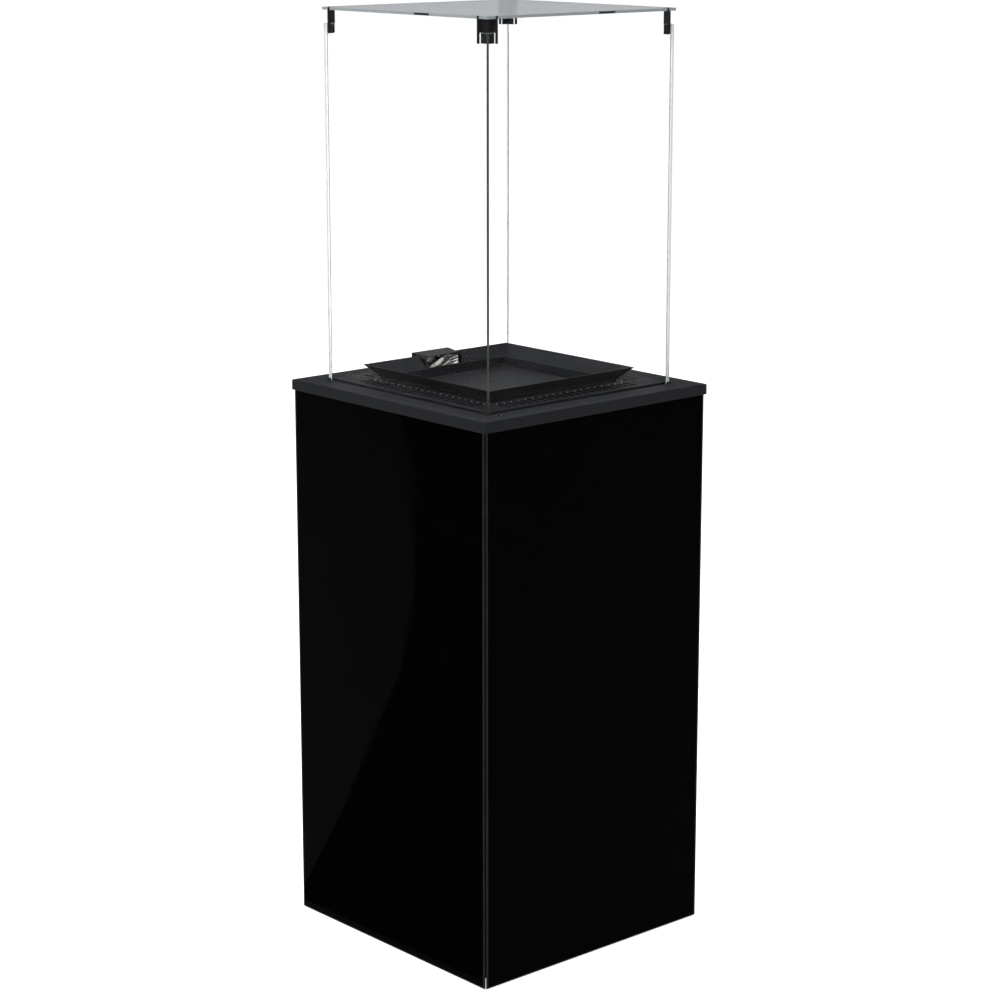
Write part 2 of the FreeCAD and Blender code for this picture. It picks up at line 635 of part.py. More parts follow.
def build_control_box():
    """Receiver and battery box on the control rail, with its sliding cover and rocker switch."""
    face = "rail_front"
    low, high, depth = 852, 916, 24
    box = block((62, face, low), (172, f"{face}+{depth}", high))
    bay = block((68, f"{face}+6", low + 6), (132, f"{face}+{depth}+1", high - 6))
    groove = block((65, f"{face}+21", low - 2), (135, f"{face}+23.2", high - 4))
    thumb_path = block((83, f"{face}+21", low - 1), (117, f"{face}+{depth}+1", low + 7))
    socket = block((145, f"{face}+8", 874), (163, f"{face}+{depth}+1", 896))
    pin_bore = rod(1.26, 21.4, 143.3, f"{face}+20", 885, "X")
    node("control_box", cut(box, [bay, groove, thumb_path, socket, pin_bore]))

    cover = block((65.3, f"{face}+21.2", low), (134.7, f"{face}+23", high - 4.3))
    ribs = [block((85, f"{face}+22.9", low + 6 + 4 * i), (115, f"{face}+23.9", low + 8 + 4 * i))
            for i in range(4)]
    node("battery_cover", fuse([cover] + ribs))

    pivot = V(145.4, size(face) + 20, 885)
    section = [(-6, -4), (-6, 4), (3, 9.4), (4.2, 0), (6, -9.4)]
    wedge = prism([pivot + V(0, y, z) for y, z in section], V(17.2, 0, 0))
    pivot_pin = Part.makeCylinder(1.2, 21, pivot - V(1.9, 0, 0), V(1, 0, 0))
    node("rocker_switch", computed(wedge.fuse(pivot_pin)))


# ---------------------------------------------------------------- glass chamber
def build_chamber():
    """Four panes in the cap's opening, a clip on each corner and the lid that lies on the clips."""
    foot, out = "cap_top-cap_sheet", "chamber_width/2"
    ends = f"({out}-pane_sheet-glass_gap)"
    for side, opposite, sign in (("left", "front", -1), ("right", "rear", 1)):
        low, high = ordered(f"{sign}*({out}-pane_sheet)", f"{sign}*{out}", sign)
        node("pane_" + side, block((low, f"-{out}", foot), (high, out, "pane_top")))
        node("pane_" + opposite, block((f"-{ends}", low, foot), (ends, high, "pane_top")))

    body = body_part("lid_glass")
    plate = pad(body, sketch(body, "Outline", "lid_bottom", [square_outline("lid_width/2")]), "lid_sheet")
    arris = body.newObject("PartDesign::Chamfer", "Arris")
    arris.Base = (plate, [f"Edge{i}" for i in range(1, len(body.Shape.Edges) + 1)])
    bind(arris, Size="lid_arris")
    doc.recompute()

    shoes = []
    for x, y in CORNERS.values():
        low_x, high_x = ordered(f"{x}*({out}+shoe_proud-shoe_size)", f"{x}*({out}+shoe_proud)", x)
        low_y, high_y = ordered(f"{y}*({out}+shoe_proud-shoe_size)", f"{y}*({out}+shoe_proud)", y)
        shoe = block((low_x, low_y, "cap_top"), (high_x, high_y, "cap_top+3"))
        shoes.append(cut(shoe, [square(f"{out}+0.1", "cap_top-1", "cap_top+4")]))
    node("corner_shoes", group(shoes))

    for name, (x, y) in CORNERS.items():
        node("clip_" + name, computed(corner_clip(x, y)))


def corner_clip(x, y):
    """Bent sheet clip: two legs inside the corner, and an ear over each pane that holds the lid's edge."""
    inner = size("chamber_width/2-pane_sheet-fit_gap")
    leg, thick, reach = size("clip_leg"), size("clip_sheet"), size("clip_reach")
    low, lid_low, lid_top = size("clip_foot"), size("lid_bottom"), size("lid_bottom+lid_sheet")
    gap, pane_out, top = size("fit_gap"), size("chamber_width/2"), size("pane_top")
    lid_edge = size("lid_width/2") + gap
    leg_a = Part.makeBox(leg, thick, lid_low - low, V(inner - leg, inner - thick, low))
    leg_b = Part.makeBox(thick, leg, lid_low - low, V(inner - thick, inner - leg, low))
    ear = Part.makeBox(thick, reach - inner + thick, lid_top - low, V(inner - leg, inner - thick, low))
    over = 3 * thick
    pane_slot = Part.makeBox(over, pane_out + gap - inner, top + gap - low + 1,
                             V(inner - leg - thick, inner, low - 1))
    lid_room = Part.makeBox(over, lid_edge - inner + thick + 1, lid_top,
                            V(inner - leg - thick, inner - thick - 1, lid_low))
    ear_a = ear.cut([pane_slot, lid_room])
    swap = FreeCAD.Matrix(0, 1, 0, 0, 1, 0, 0, 0, 0, 0, 1, 0, 0, 0, 0, 1)
    ear_b = ear_a.transformGeometry(swap)
    clip = leg_a.fuse([leg_b, ear_a, ear_b]).removeSplitter()
    if x < 0:
        clip = clip.mirror(V(0, 0, 0), V(1, 0, 0))
    if y < 0:
        clip = clip.mirror(V(0, 0, 0), V(0, 1, 0))
    return clip


# ---------------------------------------------------------------- build, check and write
build_base()
build_frame()
build_panels()
build_door()
build_cap()
build_deck()
build_tray()
build_burner()
build_controls(build_pilot())
build_control_box()
build_chamber()
doc.recompute()

for item in doc.Objects:
    assert "Invalid" not in item.State and "Error" not in item.State, item.Label + ": " + str(item.State)
for name, item in NODES.items():
    shape = item.Shape
    assert not shape.isNull() and shape.isValid() and shape.Solids, name + ": no valid solid"

os.makedirs("parts", exist_ok=True)
for name, item in NODES.items():
    item.Shape.exportStep(f"parts/{name}.step")
print(len(NODES), "sub-parts written")
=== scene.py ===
"""Outdoor gas heater: finishes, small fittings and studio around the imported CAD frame."""
import json
import math

import bmesh
import bpy
from mathutils import Matrix, Vector


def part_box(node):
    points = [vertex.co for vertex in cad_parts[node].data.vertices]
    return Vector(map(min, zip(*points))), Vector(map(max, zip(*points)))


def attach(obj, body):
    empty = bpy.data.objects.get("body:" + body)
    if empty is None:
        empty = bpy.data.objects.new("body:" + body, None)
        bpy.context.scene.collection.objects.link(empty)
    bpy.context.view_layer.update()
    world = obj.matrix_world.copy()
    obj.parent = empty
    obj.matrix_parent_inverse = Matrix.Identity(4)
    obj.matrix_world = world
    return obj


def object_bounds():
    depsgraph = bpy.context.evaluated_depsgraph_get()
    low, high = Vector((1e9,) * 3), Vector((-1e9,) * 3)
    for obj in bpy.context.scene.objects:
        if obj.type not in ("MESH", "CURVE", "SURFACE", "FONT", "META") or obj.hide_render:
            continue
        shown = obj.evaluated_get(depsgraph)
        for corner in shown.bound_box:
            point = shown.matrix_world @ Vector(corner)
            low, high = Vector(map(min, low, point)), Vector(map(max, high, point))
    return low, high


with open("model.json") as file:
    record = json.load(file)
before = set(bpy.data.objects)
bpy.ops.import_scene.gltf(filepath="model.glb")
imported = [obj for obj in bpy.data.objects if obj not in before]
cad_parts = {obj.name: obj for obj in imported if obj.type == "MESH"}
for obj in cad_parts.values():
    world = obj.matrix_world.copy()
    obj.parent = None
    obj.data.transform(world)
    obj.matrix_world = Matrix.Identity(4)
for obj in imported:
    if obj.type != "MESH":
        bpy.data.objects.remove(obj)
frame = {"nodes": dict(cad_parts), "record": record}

CAD_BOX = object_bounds()
MM = 0.001
QUARTER_TURN = math.pi / 2


# ---------------------------------------------------------------- node tools
def put(tree, kind, settings=None, **inputs):
    """Adds a node, sets its options, then sets or links its inputs by name."""
    item = tree.nodes.new(kind)
    for option, value in (settings or {}).items():
        setattr(item, option, value)
    for label, value in inputs.items():
        feed(tree, item.inputs[label.replace("_", " ")], value)
    return item


def feed(tree, socket, value):
    """Links a socket to another one, or gives it a plain value."""
    if isinstance(value, bpy.types.NodeSocket):
        tree.links.new(value, socket)
    else:
        socket.default_value = value


def maths(tree, operation, first, second, clamp=False):
    """One arithmetic step on two sockets or numbers."""
    item = tree.nodes.new("ShaderNodeMath")
    item.operation, item.use_clamp = operation, clamp
    feed(tree, item.inputs[0], first)
    feed(tree, item.inputs[1], second)
    return item.outputs[0]


def blend_colours(tree, share, first, second):
    """Goes from the first colour to the second as share goes from 0 to 1."""
    item = tree.nodes.new("ShaderNodeMix")
    item.data_type = "RGBA"
    feed(tree, item.inputs["Factor"], share)
    # A Mix node keeps its colour sockets after those for numbers and vectors.
    first_colour, second_colour, mixed_colour = 6, 7, 2
    feed(tree, item.inputs[first_colour], first)
    feed(tree, item.inputs[second_colour], second)
    return item.outputs[mixed_colour]


def noise(tree, vector, scale, detail=2.0):
    """A noise value from about 0 to 1; scale is its features per metre."""
    texture = put(tree, "ShaderNodeTexNoise", Vector=vector, Scale=scale, Detail=detail)
    return texture.outputs["Fac"]


def spread(tree, value, low, high, to_low=0.0, to_high=1.0):
    """Maps low..high of a value to to_low..to_high, held at the ends."""
    return put(tree, "ShaderNodeMapRange", Value=value, From_Min=low, From_Max=high,
               To_Min=to_low, To_Max=to_high).outputs["Result"]


def new_group(name, inputs, outputs):
    """A shader group with named sockets; returns its tree, inputs and outputs."""
    kinds = {"value": "NodeSocketFloat", "colour": "NodeSocketColor", "vector": "NodeSocketVector"}
    tree = bpy.data.node_groups.new(name, "ShaderNodeTree")
    for label, kind, value in inputs:
        socket = tree.interface.new_socket(label, in_out="INPUT", socket_type=kinds[kind])
        if value is not None:
            socket.default_value = value
    for label, kind in outputs:
        tree.interface.new_socket(label, in_out="OUTPUT", socket_type=kinds[kind])
    start, end = tree.nodes.new("NodeGroupInput"), tree.nodes.new("NodeGroupOutput")
    return tree, start.outputs, end.inputs


def use_group(tree, group, **inputs):
    """Places a shared effect in a material; returns its outputs."""
    return put(tree, "ShaderNodeGroup", {"node_tree": group}, **inputs).outputs


# ---------------------------------------------------------------- shared effects
def drifting_roughness(tree, given, pattern):
    """Lets a group's roughness drift round its own value with a pattern."""
    centred = maths(tree, "SUBTRACT", pattern, 0.5)
    drift = maths(tree, "MULTIPLY", centred, given["Roughness Spread"])
    return maths(tree, "ADD", given["Roughness"], drift)


def make_coat_grain():
    """Baked powder coat: flecks, slow clouding and the fine skin that carries the bump."""
    tree, given, result = new_group(
        "coat_grain",
        [("Vector", "vector", None), ("Colour", "colour", (0.03, 0.03, 0.03, 1)),
         ("Fleck Colour", "colour", (0.06, 0.06, 0.06, 1)), ("Grain Scale", "value", 900.0),
         ("Fleck Share", "value", 0.4), ("Roughness", "value", 0.5),
         ("Roughness Spread", "value", 0.1)],
        [("Colour", "colour"), ("Roughness", "value"), ("Height", "value")])
    finer, broader = 2.3, 0.012
    skin = noise(tree, given["Vector"], given["Grain Scale"], 3.0)
    fine = noise(tree, given["Vector"], maths(tree, "MULTIPLY", given["Grain Scale"], finer))
    cloud_scale = maths(tree, "MULTIPLY", given["Grain Scale"], broader)
    cloud = noise(tree, given["Vector"], cloud_scale, 3.0)
    fleck = maths(tree, "MULTIPLY", spread(tree, fine, 0.56, 0.7), given["Fleck Share"])
    shade = spread(tree, cloud, 0.3, 0.7, 0.9, 1.08)
    tinted = put(tree, "ShaderNodeVectorMath", {"operation": "SCALE"}, Scale=shade)
    feed(tree, tinted.inputs[0], given["Colour"])
    flecked = blend_colours(tree, fleck, tinted.outputs[0], given["Fleck Colour"])
    feed(tree, result["Colour"], flecked)
    feed(tree, result["Roughness"], drifting_roughness(tree, given, cloud))
    feed(tree, result["Height"], skin)
    return tree


def make_edge_wear_and_highlight():
    """Mask of outer edges, partly rubbed wear and partly painted highlight where edges catch
    light, broken up so that no edge is worn evenly.
    """
    tree, given, result = new_group(
        "edge_wear_and_highlight",
        [("Vector", "vector", None), ("Reach", "value", 0.0012), ("Amount", "value", 0.5),
         ("Patch Scale", "value", 60.0)],
        [("Mask", "value")])
    rounded = put(tree, "ShaderNodeBevel", {"samples": 4}, Radius=given["Reach"])
    geometry = tree.nodes.new("ShaderNodeNewGeometry")
    dot = put(tree, "ShaderNodeVectorMath", {"operation": "DOT_PRODUCT"})
    feed(tree, dot.inputs[0], rounded.outputs["Normal"])
    feed(tree, dot.inputs[1], geometry.outputs["Normal"])
    bend = maths(tree, "SUBTRACT", 1.0, dot.outputs["Value"])
    turned = spread(tree, bend, 0.02, 0.25)
    patches = spread(tree, noise(tree, given["Vector"], given["Patch Scale"], 4.0), 0.4, 0.62)
    worn_and_lit = maths(tree, "MULTIPLY", turned, patches)
    feed(tree, result["Mask"], maths(tree, "MULTIPLY", worn_and_lit, given["Amount"], clamp=True))
    return tree


def make_settled_dust():
    """Mask of fine dust that lies on faces that look up."""
    tree, given, result = new_group(
        "settled_dust",
        [("Vector", "vector", None), ("Amount", "value", 0.2), ("Patch Scale", "value", 14.0)],
        [("Mask", "value")])
    geometry = tree.nodes.new("ShaderNodeNewGeometry")
    parts = put(tree, "ShaderNodeSeparateXYZ", Vector=geometry.outputs["Normal"])
    upward = spread(tree, parts.outputs["Z"], 0.6, 1.0)
    mote_scale = 2400.0
    patches = spread(tree, noise(tree, given["Vector"], given["Patch Scale"], 5.0), 0.35, 0.75)
    motes = spread(tree, noise(tree, given["Vector"], mote_scale, 1.0), 0.45, 0.75)
    grown = maths(tree, "MULTIPLY", maths(tree, "MULTIPLY", upward, patches), motes)
    feed(tree, result["Mask"], maths(tree, "MULTIPLY", grown, given["Amount"], clamp=True))
    return tree


def make_brushing():
    """Long brush lines for bright metal; the vector comes in already stretched."""
    tree, given, result = new_group(
        "brushing",
        [("Vector", "vector", None), ("Line Scale", "value", 700.0), ("Roughness", "value", 0.3),
         ("Roughness Spread", "value", 0.15)],
        [("Roughness", "value"), ("Height", "value"), ("Streak", "value")])
    broader = 0.13
    lines = noise(tree, given["Vector"], given["Line Scale"], 4.0)
    band_scale = maths(tree, "MULTIPLY", given["Line Scale"], broader)
    bands = noise(tree, given["Vector"], band_scale, 3.0)
    feed(tree, result["Roughness"], drifting_roughness(tree, given, bands))
    feed(tree, result["Height"], lines)
    feed(tree, result["Streak"], spread(tree, lines, 0.35, 0.65))
    return tree


def make_hand_smears():
    """Faint wiped patches that only change how sharply a smooth face reflects."""
    tree, given, result = new_group(
        "hand_smears",
        [("Vector", "vector", None), ("Patch Scale", "value", 9.0), ("Roughness", "value", 0.03),
         ("Smear", "value", 0.05)],
        [("Roughness", "value"), ("Mask", "value")])
    bend = put(tree, "ShaderNodeTexNoise", Vector=given["Vector"], Scale=given["Patch Scale"],
               Detail=5.0, Distortion=1.4).outputs["Fac"]
    smear = spread(tree, bend, 0.5, 0.72)
    added = maths(tree, "MULTIPLY", smear, given["Smear"])
    feed(tree, result["Roughness"], maths(tree, "ADD", given["Roughness"], added))
    feed(tree, result["Mask"], smear)
    return tree


COAT_GRAIN, EDGE_WEAR_AND_HIGHLIGHT, SETTLED_DUST = make_coat_grain(), make_edge_wear_and_highlight(), make_settled_dust()
BRUSHING, HAND_SMEARS = make_brushing(), make_hand_smears()


# ---------------------------------------------------------------- finishes
DUST_COLOUR = (0.16, 0.155, 0.145, 1)
DUST_DULLING = 0.4
# Lighter colours laid on outer edges: partly rubbed wear, partly painted highlight.
RUBBED_CAST_AND_HIGHLIGHT = (0.7, 0.7, 0.7, 1)
RUBBED_METAL_AND_HIGHLIGHT = (0.8, 0.8, 0.8, 1)


def surface(name, **plain):
    """A material whose even values sit on the shader's own sockets."""
    material = bpy.data.materials.new(name)
    material.use_nodes = True
    tree = material.node_tree
    shader = tree.nodes["Principled BSDF"]
    for label, value in plain.items():
        shader.inputs[label.replace("_", " ")].default_value = value
    where = tree.nodes.new("ShaderNodeTexCoord").outputs["Object"]
    return material, tree, shader, where


def lay(tree, shader, colour, roughness):
    """Gives a shader its colour and roughness patterns."""
    feed(tree, shader.inputs["Base Color"], colour)
    feed(tree, shader.inputs["Roughness"], roughness)


def raise_skin(tree, shader, height, strength, depth):
    """Raises a fine skin from a height pattern; depth is in metres."""
    bump = put(tree, "ShaderNodeBump", Strength=strength, Distance=depth, Height=height)
    tree.links.new(bump.outputs["Normal"], shader.inputs["Normal"])


def coat(name, colour, fleck, grain=900.0, fleck_share=0.4, roughness=0.5, roughness_spread=0.1,
         skin=0.25, depth=0.00012, worn_and_highlight_colour=(0.09, 0.09, 0.1, 1), wear_and_highlight=0.35, dust=0.15,
         specular=0.35):
    """Powder coat, moulded plastic or rubber: grain, lighter outer edges (partly rubbed wear,
    partly painted highlight) and a little dust.
    """
    material, tree, shader, where = surface(name, Specular_IOR_Level=specular)
    baked = use_group(tree, COAT_GRAIN, Vector=where, Colour=colour, Fleck_Colour=fleck,
                      Grain_Scale=grain, Fleck_Share=fleck_share, Roughness=roughness,
                      Roughness_Spread=roughness_spread)
    worn_and_lit = use_group(tree, EDGE_WEAR_AND_HIGHLIGHT, Vector=where, Reach=0.0012, Amount=wear_and_highlight, Patch_Scale=70.0)
    dusty = use_group(tree, SETTLED_DUST, Vector=where, Amount=dust, Patch_Scale=14.0)
    rubbed_and_lit = blend_colours(tree, worn_and_lit["Mask"], baked["Colour"], worn_and_highlight_colour)
    dusted = blend_colours(tree, dusty["Mask"], rubbed_and_lit, DUST_COLOUR)
    duller = maths(tree, "MULTIPLY", dusty["Mask"], DUST_DULLING)
    lay(tree, shader, dusted, maths(tree, "ADD", baked["Roughness"], duller, clamp=True))
    raise_skin(tree, shader, baked["Height"], strength=skin, depth=depth)
    return material


def bright_metal(name, colour, dark, stretch=(1, 1, 0.03), lines=700.0, roughness=0.28, skin=0.12,
                 roughness_spread=0.2, wear_and_highlight=0.2, tint=None, tint_share=0.0):
    """Brushed or plated metal; tint lays slow heat or plating colour over it."""
    material, tree, shader, where = surface(name, Metallic=1.0)
    drawn = put(tree, "ShaderNodeMapping", Vector=where, Scale=stretch).outputs["Vector"]
    brushed = use_group(tree, BRUSHING, Vector=drawn, Line_Scale=lines, Roughness=roughness,
                        Roughness_Spread=roughness_spread)
    worn_and_lit = use_group(tree, EDGE_WEAR_AND_HIGHLIGHT, Vector=where, Reach=0.0006, Amount=wear_and_highlight, Patch_Scale=90.0)
    streaked = blend_colours(tree, brushed["Streak"], dark, colour)
    if tint:
        patches = spread(tree, noise(tree, where, 45.0, 3.0), 0.4, 0.65, 0.0, tint_share)
        streaked = blend_colours(tree, patches, streaked, tint)
    # Lighter outer edges: partly rubbed wear, partly painted highlight.
    rubbed_and_lit = blend_colours(tree, worn_and_lit["Mask"], streaked, RUBBED_METAL_AND_HIGHLIGHT)
    lay(tree, shader, rubbed_and_lit, brushed["Roughness"])
    raise_skin(tree, shader, brushed["Height"], strength=skin, depth=0.00006)
    return material


def cast_metal(name):
    """Die-cast housing: a sandy, flecked skin with lighter edges, partly rubbed wear and partly
    painted highlight.
    """
    material, tree, shader, where = surface(name, Metallic=0.85)
    skin = use_group(tree, COAT_GRAIN, Vector=where, Colour=(0.36, 0.36, 0.37, 1),
                     Fleck_Colour=(0.55, 0.55, 0.56, 1), Grain_Scale=650.0, Fleck_Share=0.6,
                     Roughness=0.42, Roughness_Spread=0.2)
    worn_and_lit = use_group(tree, EDGE_WEAR_AND_HIGHLIGHT, Vector=where, Reach=0.0008, Amount=0.5, Patch_Scale=80.0)
    lay(tree, shader, blend_colours(tree, worn_and_lit["Mask"], skin["Colour"], RUBBED_CAST_AND_HIGHLIGHT),
        skin["Roughness"])
    raise_skin(tree, shader, skin["Height"], strength=0.4, depth=0.00015)
    return material


def painted_glass(name):
    """Black back-painted glass: deep black, faint smears and a little dust near its foot."""
    material, tree, shader, where = surface(name, Specular_IOR_Level=0.004)
    paint, smeared = (0.0006, 0.0006, 0.0004, 1), (0.0008, 0.0008, 0.0007, 1)
    foot_dust, foot_dust_top, foot_dust_share = (0.02, 0.02, 0.019, 1), 0.22, 0.12
    smears = use_group(tree, HAND_SMEARS, Vector=where, Patch_Scale=5.0, Roughness=0.03,
                       Smear=0.05)
    height = put(tree, "ShaderNodeSeparateXYZ", Vector=where).outputs["Z"]
    low_down = spread(tree, height, 0.0, foot_dust_top, 1.0, 0.0)
    motes = spread(tree, noise(tree, where, 1800.0, 1.0), 0.62, 0.8)
    film = maths(tree, "MULTIPLY", maths(tree, "MULTIPLY", low_down, motes), foot_dust_share)
    cleaner = blend_colours(tree, smears["Mask"], paint, smeared)
    lay(tree, shader, blend_colours(tree, film, cleaner, foot_dust), smears["Roughness"])
    return material


def clear_pane(name, colour, smear_colour, ior=1.07):
    """Clear tempered glass: nearly unseen, with faint wiped patches."""
    smear = 0.006
    material, tree, shader, where = surface(name, Transmission_Weight=1.0, IOR=ior)
    smears = use_group(tree, HAND_SMEARS, Vector=where, Patch_Scale=6.0, Roughness=0.0,
                       Smear=smear)
    lay(tree, shader, blend_colours(tree, smears["Mask"], colour, smear_colour),
        smears["Roughness"])
    return material


def ground_edge(name, colour, paler):
    """Ground and seamed glass edge: frosted, closed to light, with a fine wheel grain."""
    material, tree, shader, where = surface(name, IOR=1.45)
    wheel = use_group(tree, BRUSHING, Vector=where, Line_Scale=900.0, Roughness=0.35,
                      Roughness_Spread=0.2)
    lay(tree, shader, blend_colours(tree, wheel["Streak"], colour, paler), wheel["Roughness"])
    raise_skin(tree, shader, wheel["Height"], strength=0.15, depth=0.00005)
    return material


def glazed_ceramic(name, colour, paler):
    """Fired clay under a thin glaze."""
    material, tree, shader, where = surface(name, Coat_Weight=0.5, Coat_Roughness=0.08)
    clay = use_group(tree, COAT_GRAIN, Vector=where, Colour=colour, Fleck_Colour=paler,
                     Grain_Scale=1400.0, Fleck_Share=0.3, Roughness=0.25, Roughness_Spread=0.1)
    lay(tree, shader, clay["Colour"], clay["Roughness"])
    raise_skin(tree, shader, clay["Height"], strength=0.08, depth=0.00005)
    return material


def smoked_lens(name):
    """Nearly black red lens of the receiver eye."""
    deep_red, red = (0.006, 0.001, 0.001, 1), (0.014, 0.003, 0.003, 1)
    material, tree, shader, where = surface(name, Coat_Weight=1.0, Coat_Roughness=0.03)
    smears = use_group(tree, HAND_SMEARS, Vector=where, Patch_Scale=300.0, Roughness=0.08,
                       Smear=0.08)
    lay(tree, shader, blend_colours(tree, smears["Mask"], deep_red, red), smears["Roughness"])
    return material


FINISHES = {
    "anthracite_coat": coat("anthracite_coat", (0.0114, 0.0123, 0.0142, 1),
                            (0.0246, 0.0264, 0.03, 1), roughness=0.62, specular=0.06, dust=0.06),
    "black_coat": coat("black_coat", (0.011, 0.011, 0.012, 1), (0.026, 0.026, 0.028, 1),
                       grain=1100.0, roughness=0.58, wear_and_highlight=0.25, worn_and_highlight_colour=(0.06, 0.06, 0.062, 1),
                       dust=0.06, specular=0.09),
    "black_glass": painted_glass("black_glass"),
    "clear_glass": clear_pane("clear_glass", (0.985, 0.99, 0.99, 1), (0.97, 0.975, 0.975, 1)),
    "stainless": bright_metal("stainless", (0.62, 0.61, 0.6, 1), (0.44, 0.44, 0.44, 1)),
    "zinc_steel": bright_metal("zinc_steel", (0.55, 0.56, 0.58, 1), (0.42, 0.43, 0.45, 1),
                               stretch=(1, 1, 1), lines=420.0, roughness=0.4,
                               tint=(0.5, 0.5, 0.42, 1), tint_share=0.35),
    "rubber": coat("rubber", (0.014, 0.014, 0.014, 1), (0.03, 0.03, 0.03, 1), grain=1500.0,
                   roughness=0.75, skin=0.35, wear_and_highlight=0.1, dust=0.3, specular=0.25),
    "brass": bright_metal("brass", (0.62, 0.43, 0.17, 1), (0.47, 0.31, 0.11, 1),
                          stretch=(0.05, 0.05, 1), lines=2400.0, roughness=0.3),
    "cast_alloy": cast_metal("cast_alloy"),
    "black_plastic": coat("black_plastic", (0.014, 0.014, 0.015, 1), (0.022, 0.022, 0.023, 1),
                          grain=1700.0, fleck_share=0.3, roughness=0.42, skin=0.3, depth=0.00008,
                          wear_and_highlight=0.12, worn_and_highlight_colour=(0.04, 0.04, 0.04, 1), dust=0.1, specular=0.4),
    "ceramic": glazed_ceramic("ceramic", (0.78, 0.74, 0.68, 1), (0.88, 0.86, 0.82, 1)),
    "lens": smoked_lens("lens"),
}
LID_GLASS = clear_pane("lid_glass_face", (0.8, 0.83, 0.88, 1), (0.76, 0.79, 0.84, 1), ior=1.5)
EDGE_DARK = ground_edge("glass_edge_deep", (0.006, 0.008, 0.0075, 1), (0.014, 0.017, 0.016, 1))
EDGE_GREY = ground_edge("glass_edge_grey", (0.2, 0.22, 0.23, 1), (0.32, 0.34, 0.35, 1))
EDGE_PALE = ground_edge("glass_edge_pale", (0.66, 0.69, 0.69, 1), (0.8, 0.83, 0.83, 1))
HEATED_STEEL = bright_metal("heated_steel", (0.86, 0.83, 0.82, 1), (0.6, 0.6, 0.61, 1),
                            stretch=(1, 1, 1), lines=500.0, roughness=0.24,
                            tint=(0.72, 0.52, 0.46, 1), tint_share=0.45)
# Pale grey for the slot lips: a painted highlight at the slot ends.
SLOT_END_HIGHLIGHT = coat("slot_end_highlight", (0.42, 0.42, 0.44, 1), (0.52, 0.52, 0.54, 1), grain=1500.0,
                roughness=0.45, skin=0.2, wear_and_highlight=0.0, dust=0.0)
MARK_WHITE = coat("mark_white", (0.72, 0.72, 0.7, 1), (0.8, 0.8, 0.78, 1), grain=2000.0,
                  roughness=0.5, skin=0.1, wear_and_highlight=0.0, dust=0.0)
SEAL = coat("seal_dark", (0.03, 0.032, 0.032, 1), (0.05, 0.052, 0.052, 1), grain=800.0,
            roughness=0.5, skin=0.1, wear_and_highlight=0.0, dust=0.05, specular=0.1)


def dress(node_name, *finishes):
    """Puts finishes on a CAD node, in the order of its faces' material indices."""
    mesh = frame["nodes"][node_name].data
    mesh.materials.clear()
    for finish in finishes:
        mesh.materials.append(finish)


def dress_faces(node_name, choose):
    """Gives each face of a node the finish that choose() picks from its normal."""
    for face in frame["nodes"][node_name].data.polygons:
        face.material_index = choose(face.normal)


for row in frame["record"]["subparts"]:
    dress(row["node"], FINISHES[row["material_slot"]])
for rod in ("pilot_burner", "thermocouple", "electrode_tip"):
    dress(rod, HEATED_STEEL)

CLEAR, PALE, DARK = 0, 1, 2
SQUARE_ON = 0.9


def pane_finish(side):
    """Clear faces and pale edges; at the front left joint one edge is dark and one clear."""
    across = 0 if side in ("left", "right") else 1

    def choose(normal):
        if abs(normal[across]) > SQUARE_ON or (side == "front" and normal.x < -SQUARE_ON):
            return CLEAR
        return DARK if side == "left" and normal.y < -SQUARE_ON else PALE

    return choose


for side in ("left", "right", "front", "rear"):
    dress("pane_" + side, FINISHES["clear_glass"], EDGE_PALE, EDGE_DARK)
    dress_faces("pane_" + side, pane_finish(side))
dress("lid_glass", LID_GLASS, EDGE_GREY)
dress_faces("lid_glass", lambda normal: 0 if abs(normal.z) > SQUARE_ON else 1)


# ---------------------------------------------------------------- shape tools
def shape_tree(name, inputs):
    """A geometry tree with named inputs; returns it, its inputs and a function that ends it."""
    kinds = {"length": "NodeSocketFloat", "count": "NodeSocketInt", "offset": "NodeSocketVector",
             "finish": "NodeSocketMaterial"}
    tree = bpy.data.node_groups.new(name, "GeometryNodeTree")
    tree.interface.new_socket("Geometry", in_out="INPUT", socket_type="NodeSocketGeometry")
    tree.interface.new_socket("Geometry", in_out="OUTPUT", socket_type="NodeSocketGeometry")
    for label, kind in inputs + [("Finish", "finish")]:
        tree.interface.new_socket(label, in_out="INPUT", socket_type=kinds[kind])
    given = tree.nodes.new("NodeGroupInput").outputs
    end = tree.nodes.new("NodeGroupOutput").inputs

    def close(instances):
        solid = put(tree, "GeometryNodeRealizeInstances", Geometry=instances)
        painted = put(tree, "GeometryNodeSetMaterial", Geometry=solid.outputs[0],
                      Material=given["Finish"])
        tree.links.new(painted.outputs[0], end["Geometry"])
        return tree

    return tree, given, close


def bare_mesh(name, corners, faces=()):
    """A mesh from its corners, in metres, and its faces."""
    mesh = bpy.data.meshes.new(name)
    mesh.from_pydata([tuple(corner) for corner in corners], [], faces)
    return mesh


def bare_object(name, corners, faces=()):
    """A bare mesh as an object in the scene."""
    mesh = bare_mesh(name, corners, faces)
    item = bpy.data.objects.new(name, mesh)
    bpy.context.scene.collection.objects.link(item)
    return item


